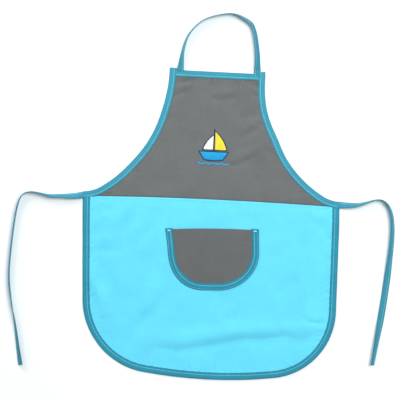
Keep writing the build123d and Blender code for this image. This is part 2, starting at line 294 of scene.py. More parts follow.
# Height, width, and the line along its crest or its hollow
FOLDS = (
    # Skirt, upper left: slanting folds that run down from the waist
    (0.0017, 0.0132, [(-0.146, 0.030), (-0.172, 0.000), (-0.182, -0.040)]),
    (-0.0009, 0.0108, [(-0.131, 0.014), (-0.152, -0.012), (-0.152, -0.048)]),
    (0.0012, 0.0120, [(-0.112, 0.010), (-0.133, -0.014), (-0.139, -0.044)]),
    (-0.0009, 0.0108, [(-0.098, -0.006), (-0.122, -0.029), (-0.130, -0.048)]),
    (0.0009, 0.0156, [(-0.078, 0.008), (-0.104, -0.030), (-0.116, -0.060)]),
    (-0.0007, 0.0084, [(-0.180, 0.023), (-0.209, 0.005)]),
    (0.0007, 0.0084, [(-0.186, 0.012), (-0.212, -0.010)]),
    (-0.0005, 0.0108, [(-0.048, 0.024), (-0.066, 0.006)]),
    (0.0009, 0.0120, [(-0.208, -0.042), (-0.170, -0.036)]),
    (-0.0007, 0.0084, [(-0.207, -0.055), (-0.170, -0.056), (-0.142, -0.050)]),
    # Skirt, lower left: a raised fold along the binding
    (0.0039, 0.011, [(-0.209, -0.078), (-0.205, -0.110), (-0.190, -0.138), (-0.178, -0.176)]),
    (-0.0020, 0.012, [(-0.190, -0.082), (-0.182, -0.116), (-0.164, -0.142), (-0.156, -0.188)]),
    (0.0017, 0.016, [(-0.100, -0.112), (-0.108, -0.150), (-0.134, -0.180)]),
    (-0.0015, 0.011, [(-0.070, -0.118), (-0.086, -0.154), (-0.125, -0.192)]),
    # Skirt, middle and right
    (-0.0010, 0.010, [(0.040, -0.134), (0.022, -0.152)]),
    (0.0010, 0.012, [(0.052, -0.142), (0.034, -0.162)]),
    (-0.0007, 0.008, [(0.178, -0.046), (0.187, -0.104), (0.192, -0.138)]),
    (0.0008, 0.009, [(0.166, -0.060), (0.172, -0.110), (0.176, -0.142)]),
    (-0.0008, 0.010, [(0.154, -0.088), (0.160, -0.104)]),
    (-0.0012, 0.0035, [(0.174, -0.158), (0.184, -0.168), (0.214, -0.168)]),
    (0.0008, 0.0060, [(0.178, -0.148), (0.190, -0.157), (0.214, -0.157)]),
    (-0.0010, 0.010, [(0.160, 0.028), (0.196, 0.008), (0.222, -0.022)]),
    (0.0012, 0.012, [(0.176, 0.036), (0.208, 0.020), (0.226, -0.002)]),
    # Skirt, the long fold above the hem
    (0.0035, 0.0161, [(-0.086, -0.210), (-0.044, -0.212), (0.002, -0.203), (0.074, -0.186), (0.142, -0.180),
                      (0.196, -0.176)]),
    (-0.0023, 0.0092, [(-0.088, -0.227), (-0.045, -0.229), (0.002, -0.220), (0.038, -0.211), (0.074, -0.203),
                      (0.110, -0.204), (0.144, -0.195), (0.172, -0.204), (0.198, -0.192)]),
    (-0.0014, 0.0149, [(-0.084, -0.240), (-0.052, -0.254)]),
    # Bib: creases under the top tape
    (-0.0028, 0.0030, [(-0.072, 0.252), (-0.038, 0.258)]),
    (0.0024, 0.0060, [(-0.070, 0.243), (-0.046, 0.248)]),
    (-0.0022, 0.0032, [(-0.078, 0.226), (-0.060, 0.234)]),
    (-0.0028, 0.0034, [(0.052, 0.262), (0.076, 0.250)]),
    (-0.0020, 0.0034, [(0.065, 0.239), (0.076, 0.232)]),
    (-0.0020, 0.0040, [(-0.006, 0.226), (0.008, 0.223), (0.036, 0.230)]),
    (0.0016, 0.0070, [(-0.004, 0.236), (0.034, 0.240)]),
    (-0.0014, 0.0040, [(-0.024, 0.241), (-0.014, 0.233)]),
    # Bib: beside and below the motif
    (-0.0011, 0.0060, [(0.044, 0.196), (0.075, 0.200)]),
    (-0.0010, 0.0060, [(0.042, 0.155), (0.082, 0.180)]),
    (0.0011, 0.0080, [(0.044, 0.170), (0.078, 0.190)]),
    (-0.0020, 0.0040, [(0.022, 0.110), (0.044, 0.107), (0.074, 0.126)]),
    (0.0015, 0.0080, [(0.030, 0.121), (0.060, 0.130), (0.084, 0.146)]),
    (-0.0014, 0.0160, [(0.066, 0.112), (0.092, 0.084)]),
    (-0.0013, 0.0060, [(0.090, 0.140), (0.112, 0.128)]),
    (-0.0008, 0.0060, [(-0.088, 0.182), (-0.070, 0.190)]),
    (-0.0014, 0.0160, [(-0.140, 0.073), (-0.080, 0.056)]),
    (0.0013, 0.0200, [(-0.110, 0.110), (-0.070, 0.096)]),
)
REST_HEIGHT = 0.0010       # how far the cloth lies off the surface where nothing presses it
LOWEST_RISE = -0.0004      # puckers press it down no further than this
FLAT_AT_WAIST = 0.010      # folds die out this near the waist seam


def fold_height(points, height, width, line):
    """One fold: a smooth ridge or hollow along a line, fading towards its ends."""
    line = np.array(line)
    lengths = np.linalg.norm(np.diff(line, axis=0), axis=1)
    total = lengths.sum()
    nearest = np.full(len(points), 1e9)
    share = np.zeros(len(points))
    start = 0.0
    for a, b, length in zip(line, line[1:], lengths):
        along = np.clip(((points - a) @ (b - a)) / length**2, 0.0, 1.0)
        distance = np.linalg.norm(points - (a + along[:, None] * (b - a)), axis=1)
        closer = distance < nearest
        nearest = np.where(closer, distance, nearest)
        share = np.where(closer, (start + along * length) / total, share)
        start += length
    fade = 0.25 + 0.75 * np.sin(pi * np.clip(share, 0.0, 1.0)) ** 0.6
    return height * fade * np.exp(-((nearest / width) ** 2))


def slow_waves(points):
    """Slight unevenness of the whole cloth."""
    x, y = points[:, 0], points[:, 1]
    wave = np.sin(61 * x + 23 * y + 0.6) * np.sin(47 * y - 31 * x + 1.9)
    finer = np.sin(133 * x - 71 * y + 2.2) * np.sin(119 * y + 87 * x + 0.3)
    return 0.00030 * wave + 0.00014 * finer


def height_at(points):
    """Height of the cloth above where it lies flat."""
    total = slow_waves(points) + REST_HEIGHT
    for height, width, line in FOLDS:
        total = total + fold_height(points, height, width, line)
    beside_waist = np.abs(points[:, 1] - waist_y) / FLAT_AT_WAIST
    settle = 1.0 - np.exp(-(beside_waist**2))
    total = total * settle
    return np.where(total > 0.0003, total, 0.0003 * np.exp(np.minimum(total / 0.0003 - 1.0, 0.0)))


def lie(points):
    """Moves points of the pattern sideways to where the cloth lies."""
    x, y = points[:, 0], points[:, 1]
    below = np.clip(waist_y - y, 0.0, None)
    near_waist = np.exp(-(((y - waist_y) / 0.07) ** 2))
    arch_end = np.where(x < 0.0, arch_left, arch_right)
    arch = arch_middle - (arch_middle - arch_end) * (x / half_skirt) ** 2
    drift = skirt_shear * below + skirt_ease * x * (1.0 - np.exp(-((below / 0.03) ** 2)))
    for (place_x, place_y), reach, distance in BIB_DRIFT:
        away = np.hypot(x - place_x, y - place_y) / reach
        drift = drift + distance * np.exp(-(away**2))
    return np.stack([x + drift, y + near_waist * arch], axis=1)


def surface(points, z, extra=0.0):
    """Points of the pattern, z above the cloth's underside, as they lie."""
    flat = lie(np.asarray(points, float))
    step = 0.0008
    height = height_at(flat)
    slope_x = (height_at(flat + (step, 0.0)) - height) / step
    slope_y = (height_at(flat + (0.0, step)) - height) / step
    z = np.broadcast_to(z, height.shape)
    rise = np.maximum(height + extra, LOWEST_RISE)
    return np.stack([flat[:, 0] - slope_x * z, flat[:, 1] - slope_y * z, rise + z], axis=1)


# Outlines of the pattern

STEP = 0.001               # between the points of an outline


def unit(vectors):
    """Each row at length 1."""
    return vectors / np.linalg.norm(vectors, axis=1)[:, None]


def travelled(points):
    """Distance along a polyline at each of its points."""
    return np.concatenate([[0.0], np.cumsum(np.linalg.norm(np.diff(points, axis=0), axis=1))])


def share_out(points, count):
    """Exactly count points, evenly along a polyline."""
    points = np.asarray(points, float)
    along = travelled(points)
    wanted = np.linspace(0.0, along[-1], count)
    return np.stack([np.interp(wanted, along, points[:, i]) for i in range(2)], axis=1)


def even(points, step=STEP):
    """A polyline with points one step apart."""
    points = np.asarray(points, float)
    return share_out(points, max(2, int(round(travelled(points)[-1] / step)) + 1))


def arc(centre, radius, start, end, count=60):
    angles = np.linspace(start, end, count)
    return np.stack([centre[0] + radius * np.cos(angles), centre[1] + radius * np.sin(angles)], axis=1)


def left_normals(path):
    """Unit normals to the left of a path's direction."""
    direction = unit(np.gradient(path, axis=0))
    return np.stack([-direction[:, 1], direction[:, 0]], axis=1)


def arm_edge(top=stub_y):
    """Right arm's outer edge, from the top down to the waist corner. The bib is on its right."""
    shoulder = half_skirt - half_top
    short_radius = (shoulder - arm_radius * (1 - cos(arm_turn))) / cos(arm_turn)
    drop = arm_radius * sin(arm_turn) + short_radius * (1 - sin(arm_turn))
    start_y = waist_y + tape_width / 2 + drop
    long_arc = arc((half_top + arm_radius, start_y), arm_radius, pi, pi + arm_turn, 120)
    centre_x = long_arc[-1, 0] + short_radius * cos(arm_turn)
    centre_y = long_arc[-1, 1] + short_radius * sin(arm_turn)
    short_arc = arc((centre_x, centre_y), short_radius, pi + arm_turn, 1.5 * pi, 50)
    return np.concatenate([[(half_top, top)], long_arc, short_arc[1:]])


def skirt_edge(left_y=waist_y, right_y=waist_y):
    """Skirt's outer edge, from the left waist corner round the bottom to the right one."""
    low_y = bottom_y + bottom_rise
    low_x = half_skirt - (waist_y - low_y) * tan(side_lean)
    big_radius = (low_x**2 + bottom_rise**2) / (2 * bottom_rise)
    big_y = bottom_y + big_radius
    # The corner's centre lies one corner radius in from the side and from the bottom curve
    inside = big_radius - corner_radius
    corner_y = low_y
    for _ in range(20):
        corner_x = half_skirt - (waist_y - corner_y) * tan(side_lean) - corner_radius / cos(side_lean)
        corner_y = big_y - sqrt(inside**2 - corner_x**2)
    turn = asin(corner_x / inside)
    corner = arc((corner_x, corner_y), corner_radius, -pi / 2 + turn, -side_lean, 80)
    bottom = arc((0.0, big_y), big_radius, -pi / 2, -pi / 2 + turn, 80)
    round_bottom = np.concatenate([bottom, corner[1:]])
    left_x = half_skirt - (waist_y - left_y) * tan(side_lean)
    right_x = half_skirt - (waist_y - right_y) * tan(side_lean)
    left = round_bottom[::-1] * (-1.0, 1.0)
    return np.concatenate([[(-left_x, left_y)], left, round_bottom[1:], [(right_x, right_y)]])


pocket_corner = 0.070


def pocket_edge(top=mouth_y):
    """Pocket's outer edge, from the left end of its mouth round to the right end."""
    centre_x = half_pocket - pocket_corner
    centre_y = pocket_low.y + pocket_corner
    corner = arc((centre_x, centre_y), pocket_corner, -pi / 2, 0.0, 60)
    right = np.concatenate([[(0.0, pocket_low.y)], corner, [(half_pocket, top)]])
    left = right[::-1] * (-1.0, 1.0)
    return np.concatenate([left, right[1:]])


# Mesh helpers

def make_piece(name, points, faces, slot):
    """A smooth-shaded mesh object with its slot's material."""
    mesh = bpy.data.meshes.new(name)
    mesh.from_pydata([tuple(p) for p in np.asarray(points).tolist()], [], faces)
    mesh.validate()
    mesh.shade_smooth()
    mesh.materials.append(materials[slot])
    piece = bpy.data.objects.new(name, mesh)
    bpy.context.scene.collection.objects.link(piece)
    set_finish(piece, slot)
    return piece


def grid_faces(rows, columns, closed=False):
    """Quads between the points of a grid. A closed grid's columns run round."""
    faces = []
    for r in range(rows - 1):
        for c in range(columns if closed else columns - 1):
            nxt = (c + 1) % columns
            a = r * columns
            faces.append((a + c, a + nxt, a + columns + nxt, a + columns + c))
    return faces


def tube_faces(stations, around, flip=False):
    """Faces of a tube with closed ends. Flipped, they face the other way."""
    faces = grid_faces(stations, around, closed=True)
    faces += [tuple(range(around))[::-1], tuple(range((stations - 1) * around, stations * around))]
    return [f[::-1] for f in faces] if flip else faces


def coons(top, bottom, left, right):
    """A grid of points that fills four edges. Top and bottom run left to right, the sides run down."""
    columns, rows = len(top), len(left)
    u = np.linspace(0.0, 1.0, columns)[None, :, None]
    v = np.linspace(0.0, 1.0, rows)[:, None, None]
    across = (1 - u) * left[:, None] + u * right[:, None]
    down = (1 - v) * top[None] + v * bottom[None]
    corners = (1 - u) * (1 - v) * top[0] + u * (1 - v) * top[-1]
    corners = corners + (1 - u) * v * bottom[0] + u * v * bottom[-1]
    return across + down - corners


def rounded_grid(edge, corner, rows, columns):
    """A grid inside an edge that runs down, across and up. Its lower corners are corner along the edge."""
    along = travelled(edge)
    low = np.searchsorted(along, corner)
    high = np.searchsorted(along, along[-1] - corner)
    left = share_out(edge[: low + 1], rows)
    bottom = share_out(edge[low : high + 1], columns)
    right = share_out(edge[high:][::-1], rows)
    top = share_out([left[0], right[0]], columns)
    return coons(top, bottom, left, right)


def two_sided(name, grid, top_z, bottom_z, slot, extra):
    """A closed sheet of cloth from a grid of pattern points."""
    rows, columns = grid.shape[:2]
    flat = grid.reshape(-1, 2)
    upper = surface(flat, top_z, extra)
    lower = surface(flat, bottom_z, extra)
    count = rows * columns
    faces = [f[::-1] for f in grid_faces(rows, columns)]
    under = [tuple(i + count for i in f[::-1]) for f in faces]
    rim = [r * columns for r in range(rows)] + [(rows - 1) * columns + c for c in range(1, columns)]
    rim += [r * columns + columns - 1 for r in range(rows - 2, -1, -1)] + list(range(columns - 2, 0, -1))
    sides = [(b, a, a + count, b + count) for a, b in zip(rim, rim[1:] + rim[:1])]
    return make_piece(name, np.concatenate([upper, lower]), faces + under + sides, slot)


# Puckers, where the cloth is drawn in by a stitched tape

gathered = []              # stitched edges, with their puckers


def gather(path, side, height, pitch=0.0085, reach=0.0075, slant=0.7):
    """Puckers along a stitched edge. side is 1 where the drawn-in cloth is on the path's left."""
    path = even(path)
    gathered.append((path, left_normals(path) * side, height, pitch, reach, slant))


def puckers(points):
    """Height of the puckers beside the stitched edges."""
    total = np.zeros(len(points))
    for number, (path, inward, height, pitch, reach, slant) in enumerate(gathered):
        tree = kdtree.KDTree(len(path))
        for i, p in enumerate(path):
            tree.insert((p[0], p[1], 0.0), i)
        tree.balance()
        low, high = path.min(axis=0) - 4 * reach, path.max(axis=0) + 4 * reach
        near = np.all((points > low) & (points < high), axis=1)
        for i in np.nonzero(near)[0]:
            _, index, distance = tree.find((points[i, 0], points[i, 1], 0.0))
            if distance > 4 * reach or (points[i] - path[index]) @ inward[index] < 0.0:
                continue
            turns = 2 * pi * (index * 0.001 + slant * distance + number * 0.37) / pitch
            ripple = sin(turns) + 0.8 * sin(0.71 * turns + 1.3) + 0.9 * sin(0.44 * turns + 0.4)
            patchy = 0.55 + 0.45 * sin(0.1 * turns + number)
            rise = (1 - np.exp(-distance / 0.002)) * np.exp(-distance / reach)
            total[i] += height * patchy * ripple / 2 * rise
    return total


# Sheets

def offset_path(path, distance):
    return path + left_normals(path) * distance


hem_path = even(skirt_edge())
arm_path = even(arm_edge())
pocket_path = even(pocket_edge())
mirror_x = np.array((-1.0, 1.0))

inner_hem = offset_path(hem_path, tape_width)
inner_arm = offset_path(arm_path, -tape_width)
gather(inner_hem, 1, 0.0012)
# Wider puckers in the hem's lowest stretch, left of the middle
lowest = (inner_hem[:, 1] < -0.24) & (np.abs(inner_hem[:, 0] + 0.045) < 0.075)
gather(inner_hem[lowest], 1, 0.0011, 0.0120, 0.020, 0.1)
gather(inner_arm, -1, 0.0009, 0.0070)
gather(inner_arm * mirror_x, 1, 0.0009, 0.0070)
top_inside = [(-half_top + tape_width, top_y - tape_width), (half_top - tape_width, top_y - tape_width)]
gather(top_inside, -1, 0.0022, 0.0046, 0.0110, 0.0)
gather(pocket_path, -1, 0.0003)


def skirt_sheet():
    """Skirt: one sheet inside the hem tape, with its rolled top edge at the waist seam."""
    grid = rounded_grid(offset_path(hem_path, IN_FOLD), 0.290, 150, 210)
    flat = grid.reshape(-1, 2)
    below = waist_y - flat[:, 1]
    rolled = 0.0004 * np.exp(-(((below - 0.0012) / 0.0012) ** 2))
    extra = puckers(flat) + rolled
    piece = two_sided("skirt_sheet", grid, face_z, cloth_z, "turquoise_cotton", extra)
    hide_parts("skirt_panel")
    return piece


def bib_sheet():
    """Bib: one sheet inside the arm and top tapes, dipping into the waist seam."""
    rows, columns = 110, 160
    right = offset_path(even(arm_edge(top_y - IN_FOLD)), -IN_FOLD)
    right = share_out(np.concatenate([right, [(half_skirt - IN_FOLD, waist_y)]]), rows)
    left = right * mirror_x
    top = share_out([left[0], right[0]], columns)
    bottom = share_out([left[-1], right[-1]], columns)
    grid = coons(top, bottom, left, right)
    flat = grid.reshape(-1, 2)
    above = flat[:, 1] - waist_y
    dip = -0.0003 * np.exp(-((above / 0.0016) ** 2))
    piece = two_sided("bib_sheet", grid, face_z, cloth_z, "grey_cotton", puckers(flat) + dip)
    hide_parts("bib_panel")
    return piece


skirt_piece = skirt_sheet()
bib_piece = bib_sheet()


# Tapes

# A folded tape's section round the cloth's edge: distance in from the fold, height
TAPE_SECTION = [
    (0.0118, 0.00113), (0.0120, 0.00130), (0.0118, 0.00150), (0.0110, 0.00168), (0.0096, 0.00172),
    (0.0086, 0.00158), (0.0080, 0.00144), (0.0074, 0.00158), (0.0066, 0.00174), (0.0054, 0.00182),
    (0.0036, 0.00180), (0.0018, 0.00170), (0.0008, 0.00150), (0.0002, 0.00115), (0.0000, 0.00085),
    (0.0002, 0.00050), (0.0008, 0.00020), (0.0020, 0.00008), (0.0045, 0.00005), (0.0070, 0.00008),
    (0.0080, 0.00024), (0.0090, 0.00010), (0.0115, 0.00008), (0.0120, 0.00030), (0.0117, 0.00055),
    (0.0060, 0.00058), (0.0014, 0.00060), (0.0010, 0.00085), (0.0014, 0.00111), (0.0060, 0.00112),
]


RIPPLE = 0.00012           # unevenness of a sewn tape's open edge


def paint_edge_shade(piece, shares, rows):
    """Marks how near each point of a tape's section is to one of its edges, for the shade that woven() paints
    there.
    """
    shares = np.clip(np.abs(np.asarray(shares)), 0.0, 1.0)
    edge_shade_marks = np.exp(-(((1.0 - shares) / 0.16) ** 2))
    edge = piece.data.attributes.new("edge", "FLOAT", "POINT")
    edge.data.foreach_set("value", np.tile(edge_shade_marks, rows).astype(np.float32))
    return piece


def sweep_tape(name, path, side, base_z=0.0, seed=0.0, spread=1.0, shift=None):
    """Folded tape along a pattern edge. side is 1 where the cloth is on the path's left."""
    normals = left_normals(path) * side
    section = np.array(TAPE_SECTION) * (spread, 1.0)
    s = np.arange(len(path)) * 0.001
    wobble = RIPPLE * (np.sin(2 * pi * s / 0.0097 + seed) + 0.8 * np.sin(2 * pi * s / 0.0151 + 2 * seed))
    flat = path[:, None] + normals[:, None] * section[None, :, :1]
    # The open edge wavers by a hair, and both legs rise and fall between the stitches
    open_edge = (section[:, 0] / 0.012)[None, :]
    flat = flat + normals[:, None] * (open_edge**4 * wobble[:, None])[..., None]
    z = base_z + section[None, :, 1] + (0.5 * wobble[:, None] * open_edge * (section[None, :, 1] > 0.001))
    flat = flat.reshape(-1, 2)
    if shift is not None:
        flat = shift(flat)
    points = surface(flat, z.reshape(-1))
    piece = make_piece(name, points, tube_faces(len(path), len(section), side < 0), "teal_tape")
    # The tape's edges get painted shade.
    return paint_edge_shade(piece, 2 * section[:, 0] / section[:, 0].max() - 1.0, len(path))


def arm_shift(sign):
    """Arm tapes lie a little off the pattern at the waist corners."""
    rise = 0.0041 if sign > 0 else 0.0028

    def shift(flat):
        near = np.clip((np.abs(flat[:, 0]) - 0.150) / 0.080, 0.0, 1.0)
        near = near * near * (3 - 2 * near)
        return flat + np.stack([np.zeros(len(flat)), rise * near], axis=1)

    return shift


ARM_END = 0.0004           # how far an arm tape's end stands past the skirt's side
arm_pieces = {}
for side_name, sign in (("left", -1), ("right", 1)):
    path = arm_path * (sign, 1.0)
    path = np.concatenate([path, [(sign * (half_skirt + ARM_END), waist_y + tape_width / 2)]])
    piece = sweep_tape(f"{side_name}_arm_tape", path, -sign, seed=1.0 + sign, shift=arm_shift(sign))
    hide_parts(f"{side_name}_arm_binding")
    arm_pieces[side_name] = piece

# The hem tape's ends meet the arm tapes' lower edges
hem_ends = (waist_y - 0.0026, waist_y - 0.0012)
hem_tape_path = even(skirt_edge(*hem_ends))
hem_tape = sweep_tape("hem_tape", hem_tape_path, 1, seed=0.4, spread=1.05)
# The hem tape takes the darker copy of the tape: painted shade.
hem_tape.data.materials[0] = shaded_finishes["hem"]
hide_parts("hem_binding")

top_path = even([(-half_top + tape_width - 0.001, top_y), (half_top - tape_width + 0.001, top_y)])
top_tape = sweep_tape("top_tape", top_path, -1, seed=2.3)
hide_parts("top_binding")
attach(hem_tape, "skirt")
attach(top_tape, "bib")


# Neck loop and ties, on the routes of their CAD solids

loop_x = half_top - 1.5 * tape_width - 0.0005
loop_route = [
    (-loop_x, -0.0070), (-loop_x + 0.0010, 0.014), (-0.0640, 0.038), (-0.0570, 0.062), (-0.0440, 0.080),
    (-0.0270, 0.0945), (0.0020, 0.1035), (0.0250, 0.1065), (0.0420, 0.0990), (0.0555, 0.0905),
    (0.0595, 0.0845), (0.0645, 0.070), (0.0685, 0.046), (0.0712, 0.024), (0.0715, -0.0070),
]
left_route = [
    (0.0035, -0.0002), (-0.018, -0.0042), (-0.040, -0.0040), (-0.056, -0.0055), (-0.076, -0.0012),
    (-0.096, 0.0015),
    (-0.110, -0.0050), (-0.1160, -0.0240), (-0.1200, -0.0520), (-0.1235, -0.0950), (-0.1260, -0.1500),
    (-0.1205, -0.1900), (-0.1110, -0.2320), (-0.1045, -0.2700), (-0.0995, -0.2980), (-0.0970, -0.3110),
]
right_route = [
    (-0.0035, 0.0035), (0.016, 0.0038), (0.032, 0.0050), (0.048, 0.0105), (0.0640, 0.0168), (0.0780, 0.0165),
    (0.0895, 0.0045), (0.0955, -0.0180), (0.0970, -0.0480), (0.0940, -0.0950), (0.0890, -0.1500),
    (0.0838, -0.1950), (0.0775, -0.2400), (0.0720, -0.2810),
]


def spline_points(name, route, root):
    """The points of the smooth line that a route's control points give, 1 mm apart."""
    curve = bpy.data.curves.new(name, "CURVE")
    curve.dimensions = "3D"
    spline = curve.splines.new("NURBS")
    spline.points.add(len(route) - 1)
    for point, (x, y) in zip(spline.points, route):
        point.co = (root[0] + x, root[1] + y, 0.0, 1.0)
    spline.order_u = 3
    spline.use_endpoint_u = True
    spline.resolution_u = 24
    holder = bpy.data.objects.new(name, curve)
    mesh = bpy.data.meshes.new_from_object(holder)
    points = np.array([v.co[:2] for v in mesh.vertices])
    bpy.data.objects.remove(holder)
    bpy.data.meshes.remove(mesh)
    return even(points)


# Stitched tape's own section: across, through. The stitch row runs near the open edge.
STRAP_SECTION = [
    (-0.0060, 0.0000), (-0.0058, 0.0004), (-0.0052, 0.0006), (-0.0046, 0.00055), (-0.0041, 0.0004),
    (-0.0036, 0.00055), (-0.0028, 0.00064), (0.0000, 0.00066), (0.0030, 0.00064), (0.0050, 0.00058),
    (0.0057, 0.0004), (0.0060, 0.0000), (0.0057, -0.0004), (0.0050, -0.00058), (0.0030, -0.00062),
    (0.0000, -0.00064), (-0.0028, -0.00060), (-0.0036, -0.00052), (-0.0041, -0.0004), (-0.0046, -0.00052),
    (-0.0052, -0.0006), (-0.0058, -0.0004),
]


def strap_frames(path, tilts):
    """At each point of a strap: its middle, the direction across it and the direction through it."""
    share = np.linspace(0.0, 1.0, len(path))
    tilt = np.radians(np.interp(share, [t[0] for t in tilts], [t[1] for t in tilts]))
    kernel = np.hanning(19)
    padded = np.concatenate([np.full(9, tilt[0]), tilt, np.full(9, tilt[-1])])
    tilt = np.convolve(padded, kernel / kernel.sum(), mode="valid")
    direction = unit(np.gradient(path, axis=0))
    side = np.stack([-direction[:, 1], direction[:, 0], np.zeros(len(path))], axis=1)
    up = np.array((0.0, 0.0, 1.0))
    across = np.cos(tilt)[:, None] * side + np.sin(tilt)[:, None] * up
    through = -np.sin(tilt)[:, None] * side + np.cos(tilt)[:, None] * up
    height = np.abs(np.sin(tilt)) * tape_width / 2 + np.abs(np.cos(tilt)) * strap_thick / 2
    middle = np.concatenate([path, height[:, None] + 0.0001], axis=1)
    return middle, across, through


def strap_mesh(name, middle, across, through):
    section = np.array(STRAP_SECTION)
    points = (
        middle[:, None]
        + across[:, None] * section[None, :, :1]
        + through[:, None] * section[None, :, 1:]
    ).reshape(-1, 3)
    piece = make_piece(name, points, tube_faces(len(middle), len(section), flip=True), "teal_tape")
    # Straps take the darker copy of the tape: painted shade.
    piece.data.materials[0] = shaded_finishes["strap"]
    # The strap's edges get painted shade.
    return paint_edge_shade(piece, section[:, 0] / 0.006, len(middle))


def thread_dashes(name, starts, ends, normals, width, height, slot):
    """Short stitches, each a rounded bead of thread that dives into the cloth at both ends."""
    starts, ends, normals = map(np.asarray, (starts, ends, normals))
    seen = np.linalg.norm(ends - starts, axis=1) > 0.0001
    starts, ends, normals = starts[seen], ends[seen], normals[seen]
    along = ends - starts
    across = np.cross(normals, along / np.linalg.norm(along, axis=1)[:, None])
    stations = np.array((0.0, 0.12, 0.5, 0.88, 1.0))
    rise = np.array((-0.9, 0.2, 0.55, 0.2, -0.9)) * height
    angles = np.linspace(0.0, 2 * pi, 6, endpoint=False)
    ring = np.stack([np.cos(angles) * width / 2, np.sin(angles) * height / 2], axis=1)
    points = (
        starts[:, None, None]
        + along[:, None, None] * stations[None, :, None, None]
        + normals[:, None, None] * (rise[None, :, None, None] + ring[None, None, :, 1:])
        + across[:, None, None] * ring[None, None, :, :1]
    ).reshape(-1, 3)
    single = tube_faces(5, 6)
    faces = [tuple(i + 30 * k for i in f) for k in range(len(starts)) for f in single]
    return make_piece(name, points, faces, slot)


STITCH_PITCH = 0.0031
STITCH_LENGTH = 0.0020


def row_of_stitches(name, points, normals, width=0.0009, height=0.00045, slot="pale_thread"):
    """Stitches along a line of 3-D points, a pitch apart."""
    along = travelled(points)
    begin = np.arange(0.0006, along[-1] - STITCH_LENGTH, STITCH_PITCH)

    def at(s, values):
        return np.stack([np.interp(s, along, values[:, i]) for i in range(3)], axis=1)

    facing = unit(at(begin + STITCH_LENGTH / 2, normals))
    ends = at(begin + STITCH_LENGTH, points)
    return thread_dashes(name, at(begin, points), ends, facing, width, height, slot)


def join(name, pieces):
    """One object out of several of the same slot."""
    points, faces = [], []
    for piece in pieces:
        first = len(points)
        points += [tuple(v.co) for v in piece.data.vertices]
        faces += [tuple(i + first for i in p.vertices) for p in piece.data.polygons]
    slot = pieces[0]["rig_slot"]
    for piece in pieces:
        mesh = piece.data
        bpy.data.objects.remove(piece)
        bpy.data.meshes.remove(mesh)
    return make_piece(name, points, faces, slot)


# Name, parent, route, root, length, stitch row's place across the strap,
# twist (share of the length, degrees of tilt), far end
STRAPS = (
    ("neck_loop", "bib", loop_route, (0.0, loop_exit_y), 0.2838, -0.0038,
     [(0.0, 0), (0.03, -10), (0.07, -42), (0.12, -60), (0.21, -74), (0.33, -80), (0.42, -85), (0.54, -83),
      (0.60, -66), (0.66, -56), (0.73, -52), (0.84, -44), (0.92, -34), (0.96, -5), (1.0, 8)], "object"),
    ("left_tie", "skirt", left_route, (-tie_exit_x, waist_y), 0.4176, -0.0036,
     [(0.0, 0), (0.03, 30), (0.06, 36), (0.09, 56), (0.14, 61), (0.165, 77), (0.22, 84), (0.27, 86),
      (0.33, 92), (0.69, 93), (0.76, 84), (0.80, 72), (0.86, 62), (0.92, 56), (1.0, 42)], "bare"),
    ("right_tie", "skirt", right_route, (tie_exit_x, waist_y), 0.3778, 0.0026,
     [(0.0, 0), (0.03, -34), (0.055, -37), (0.08, -55), (0.125, -73), (0.15, -80), (0.175, -88), (0.20, -90),
      (0.235, -72), (0.265, -63), (0.30, -55), (0.39, -45), (0.49, -36), (0.53, -27), (0.58, -12), (0.78, -8),
      (0.84, -28), (0.90, -42), (1.0, -53)], "bare"),
)
for strap, parent, route, root, length, row_place, tilts, far_end in STRAPS:
    path = spline_points(strap, route, root)
    middle, across, through = strap_frames(path, tilts)
    if far_end == "object":
        # Both ends are sewn into the front of the top tape
        away = np.minimum(np.arange(len(path)), np.arange(len(path))[::-1]) * 0.001
        middle[:, 2] += 0.0013 * np.exp(-(((away - 0.007) / 0.006) ** 2))
    ribbon = strap_mesh(f"{strap}_tape", middle, across, through)
    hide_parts(strap)
    rows = []
    for face in (1, -1):
        line = middle + across * row_place + through * face * 0.0005
        rows.append(row_of_stitches(f"{strap}_row_{face}", line, through * face, 0.0009, 0.0005))
    stitches = join(f"{strap}_stitches", rows)
    if far_end == "object":
        for piece in (ribbon, stitches):
            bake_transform(piece)
    else:
        for piece in (ribbon, stitches):
            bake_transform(piece)


# Stitches on the tapes

def tape_row(name, path, side, inset, front_z, back_z, shift=None, skip=0.0, width=0.0009):
    """A row of stitches along a tape, on its front and on its back."""
    line = path + left_normals(path) * side * inset
    if skip:
        keep = int(round(skip / 0.001))
        line = line[keep:-keep]
    if shift is not None:
        line = shift(line)
    front = surface(line, front_z)
    back = surface(line, back_z)
    up = unit(front - back)
    front_row = row_of_stitches(name + "_front", front, up, width)
    return join(name, [front_row, row_of_stitches(name + "_back", back, -up, width)])


VALLEY_FRONT = 0.00138     # heights of a tape's front and back where the stitches draw it in
VALLEY_BACK = 0.00022
for name, path, side, body in (("hem", hem_tape_path, 1, "skirt"), ("top", top_path, -1, "bib")):
    row = tape_row(f"{name}_stitches", path, side, stitch_line, VALLEY_FRONT, VALLEY_BACK)
    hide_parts(f"{name}_stitching")
    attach(row, body)
for side_name, sign in (("left", -1), ("right", 1)):
    path = arm_path * (sign, 1.0)
    row = tape_row(f"{side_name}_arm_stitches", path, -sign, stitch_line, VALLEY_FRONT, VALLEY_BACK,
                   arm_shift(sign))
    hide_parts(f"{side_name}_arm_stitching")
    arm_pieces[side_name + "_row"] = row


# Waist seam

SEAM_ROW = 0.0026          # waist row below the seam


def waist_row():
    """Topstitches just below the seam."""
    reach = half_skirt - tape_width - 0.001
    line = share_out([(-reach, waist_y - SEAM_ROW), (reach, waist_y - SEAM_ROW)], 440)
    front = surface(line, face_z + 0.0001)
    up = unit(front - surface(line, 0.0))
    row = row_of_stitches("waist_stitches", front, up, 0.0006, 0.0003, "turquoise_thread")
    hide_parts("waist_stitching")
    return row


